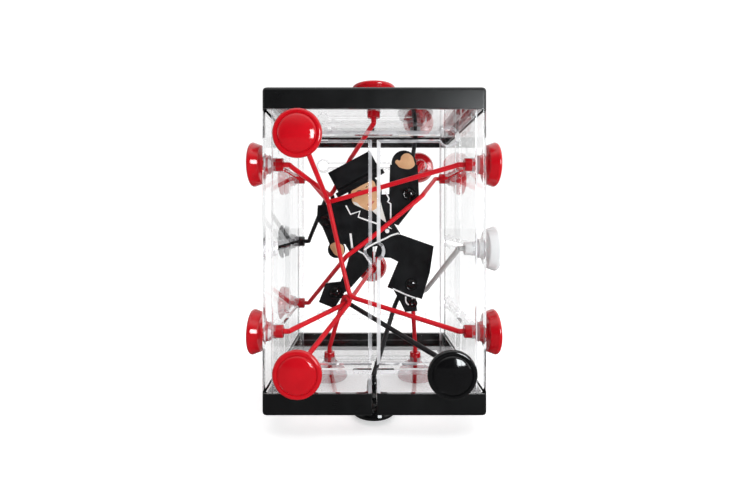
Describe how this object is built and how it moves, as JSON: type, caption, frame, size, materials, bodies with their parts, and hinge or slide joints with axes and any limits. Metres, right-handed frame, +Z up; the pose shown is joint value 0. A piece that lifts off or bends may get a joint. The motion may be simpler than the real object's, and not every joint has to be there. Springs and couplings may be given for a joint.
{
  "type": "rope puzzle",
  "caption": "Clear box puzzle with keyholes and slits in its walls, black end frames, elastic ropes ending in round knobs, and a flat figure held inside by the ropes.",
  "frame": {"origin": "on the surface that the puzzle stands on, under the middle of the case", "axes": "+Z up, +X to the right seen from the front, -Y towards the viewer, out of the wall with the long slit through the base"},
  "size_m": [0.1102, 0.1102, 0.1486],
  "materials": {
    "frame_black": "satin moulded",
    "clear": "clear, polished",
    "figure_black": "printed",
    "stud_black": "glossy",
    "knob_red": "glossy",
    "knob_black": "glossy",
    "knob_white": "glossy",
    "rope_red": "smooth elastic cord",
    "rope_black": "smooth elastic cord",
    "rope_white": "smooth elastic cord"
  },
  "bodies": {
    "case": {"base_frame": "frame_black", "cap_frame": "frame_black", "floor_plate": "clear", "ceiling_plate": "clear", "shell_front": "clear", "shell_rear": "clear", "rope_front_ul": "rope_red", "rope_front_ll": "rope_red", "rope_front_lr": "rope_black", "rope_left_fu": "rope_red", "rope_left_fl": "rope_red", "rope_left_ru": "rope_red", "rope_left_rm": "rope_black", "rope_left_rl": "rope_red", "rope_right_fu": "rope_red", "rope_right_fm": "rope_white", "rope_right_fl": "rope_red", "rope_right_ru": "rope_red", "rope_back_ur": "rope_red", "rope_back_mid": "rope_red", "rope_top_f": "rope_red", "rope_top_rr": "rope_black", "rope_bottom_f": "rope_black", "rope_bottom_rl": "rope_red", "rope_bottom_rr": "rope_red"},
    "figure": {"figure_front": "figure_black", "figure_back": "figure_black", "stud_wrist_high": "stud_black", "stud_wrist_low": "stud_black", "stud_ankle_bent": "stud_black", "stud_ankle_low": "stud_black", "stud_heel": "stud_black"},
    "knob_front_ul": {"knob_front_ul": "knob_red"},
    "knob_front_ll": {"knob_front_ll": "knob_red"},
    "knob_front_lr": {"knob_front_lr": "knob_black"},
    "knob_left_fu": {"knob_left_fu": "knob_red"},
    "knob_left_fl": {"knob_left_fl": "knob_red"},
    "knob_left_ru": {"knob_left_ru": "knob_red"},
    "knob_left_rm": {"knob_left_rm": "knob_black"},
    "knob_left_rl": {"knob_left_rl": "knob_red"},
    "knob_right_fu": {"knob_right_fu": "knob_red"},
    "knob_right_fm": {"knob_right_fm": "knob_white"},
    "knob_right_fl": {"knob_right_fl": "knob_red"},
    "knob_right_ru": {"knob_right_ru": "knob_red"},
    "knob_back_ur": {"knob_back_ur": "knob_red"},
    "knob_back_mid": {"knob_back_mid": "knob_red"},
    "knob_top_f": {"knob_top_f": "knob_red"},
    "knob_top_rr": {"knob_top_rr": "knob_black"},
    "knob_bottom_f": {"knob_bottom_f": "knob_black"},
    "knob_bottom_rl": {"knob_bottom_rl": "knob_red"},
    "knob_bottom_rr": {"knob_bottom_rr": "knob_red"}
  },
  "joints": [
    {"name": "figure_float", "type": "slide", "parent": "case", "child": "figure", "axis": [0, 0, 1], "range_m": [-0.003, 0.003], "stiffness_N_per_m": 120, "springref_m": 0.001, "deforming": ["rope_front_ul", "rope_front_ll", "rope_front_lr", "rope_left_fu", "rope_left_fl", "rope_left_ru", "rope_left_rm", "rope_left_rl", "rope_right_fu", "rope_right_fm", "rope_right_fl", "rope_right_ru", "rope_back_ur", "rope_back_mid", "rope_top_f", "rope_top_rr", "rope_bottom_f", "rope_bottom_rl", "rope_bottom_rr"]},
    {"name": "pull_front_ul", "type": "slide", "parent": "case", "child": "knob_front_ul", "axis": [0, -1, 0], "range_m": [0, 0.009], "stiffness_N_per_m": 60, "springref_m": -0.015, "deforming": ["rope_front_ul"]},
    {"name": "pull_front_ll", "type": "slide", "parent": "case", "child": "knob_front_ll", "axis": [0, -1, 0], "range_m": [0, 0.009], "stiffness_N_per_m": 60, "springref_m": -0.015, "deforming": ["rope_front_ll"]},
    {"name": "pull_front_lr", "type": "slide", "parent": "case", "child": "knob_front_lr", "axis": [0, -1, 0], "range_m": [0, 0.009], "stiffness_N_per_m": 60, "springref_m": -0.015, "deforming": ["rope_front_lr"]},
    {"name": "pull_left_fu", "type": "slide", "parent": "case", "child": "knob_left_fu", "axis": [-1, 0, 0], "range_m": [0, 0.009], "stiffness_N_per_m": 60, "springref_m": -0.015, "deforming": ["rope_left_fu"]},
    {"name": "pull_left_fl", "type": "slide", "parent": "case", "child": "knob_left_fl", "axis": [-1, 0, 0], "range_m": [0, 0.009], "stiffness_N_per_m": 60, "springref_m": -0.015, "deforming": ["rope_left_fl"]},
    {"name": "pull_left_ru", "type": "slide", "parent": "case", "child": "knob_left_ru", "axis": [-1, 0, 0], "range_m": [0, 0.009], "stiffness_N_per_m": 60, "springref_m": -0.015, "deforming": ["rope_left_ru"]},
    {"name": "pull_left_rm", "type": "slide", "parent": "case", "child": "knob_left_rm", "axis": [-1, 0, 0], "range_m": [0, 0.009], "stiffness_N_per_m": 60, "springref_m": -0.015, "deforming": ["rope_left_rm"]},
    {"name": "pull_left_rl", "type": "slide", "parent": "case", "child": "knob_left_rl", "axis": [-1, 0, 0], "range_m": [0, 0.009], "stiffness_N_per_m": 60, "springref_m": -0.015, "deforming": ["rope_left_rl"]},
    {"name": "pull_right_fu", "type": "slide", "parent": "case", "child": "knob_right_fu", "axis": [1, 0, 0], "range_m": [0, 0.009], "stiffness_N_per_m": 60, "springref_m": -0.015, "deforming": ["rope_right_fu"]},
    {"name": "pull_right_fm", "type": "slide", "parent": "case", "child": "knob_right_fm", "axis": [1, 0, 0], "range_m": [0, 0.009], "stiffness_N_per_m": 60, "springref_m": -0.015, "deforming": ["rope_right_fm"]},
    {"name": "pull_right_fl", "type": "slide", "parent": "case", "child": "knob_right_fl", "axis": [1, 0, 0], "range_m": [0, 0.009], "stiffness_N_per_m": 60, "springref_m": -0.015, "deforming": ["rope_right_fl"]},
    {"name": "pull_right_ru", "type": "slide", "parent": "case", "child": "knob_right_ru", "axis": [1, 0, 0], "range_m": [0, 0.009], "stiffness_N_per_m": 60, "springref_m": -0.015, "deforming": ["rope_right_ru"]},
    {"name": "pull_back_ur", "type": "slide", "parent": "case", "child": "knob_back_ur", "axis": [0, 1, 0], "range_m": [0, 0.009], "stiffness_N_per_m": 60, "springref_m": -0.015, "deforming": ["rope_back_ur"]},
    {"name": "pull_back_mid", "type": "slide", "parent": "case", "child": "knob_back_mid", "axis": [0, 1, 0], "range_m": [0, 0.009], "stiffness_N_per_m": 60, "springref_m": -0.015, "deforming": ["rope_back_mid"]},
    {"name": "pull_top_f", "type": "slide", "parent": "case", "child": "knob_top_f", "axis": [0, 0, 1], "range_m": [0, 0.009], "stiffness_N_per_m": 60, "springref_m": -0.015, "deforming": ["rope_top_f"]},
    {"name": "pull_top_rr", "type": "slide", "parent": "case", "child": "knob_top_rr", "axis": [0, 0, 1], "range_m": [0, 0.009], "stiffness_N_per_m": 60, "springref_m": -0.015, "deforming": ["rope_top_rr"]},
    {"name": "pull_bottom_f", "type": "slide", "parent": "case", "child": "knob_bottom_f", "axis": [0, 0, -1], "range_m": [0, 0.009], "stiffness_N_per_m": 60, "springref_m": -0.015, "deforming": ["rope_bottom_f"]},
    {"name": "pull_bottom_rl", "type": "slide", "parent": "case", "child": "knob_bottom_rl", "axis": [0, 0, -1], "range_m": [0, 0.009], "stiffness_N_per_m": 60, "springref_m": -0.015, "deforming": ["rope_bottom_rl"]},
    {"name": "pull_bottom_rr", "type": "slide", "parent": "case", "child": "knob_bottom_rr", "axis": [0, 0, -1], "range_m": [0, 0.009], "stiffness_N_per_m": 60, "springref_m": -0.015, "deforming": ["rope_bottom_rr"]}
  ]
}
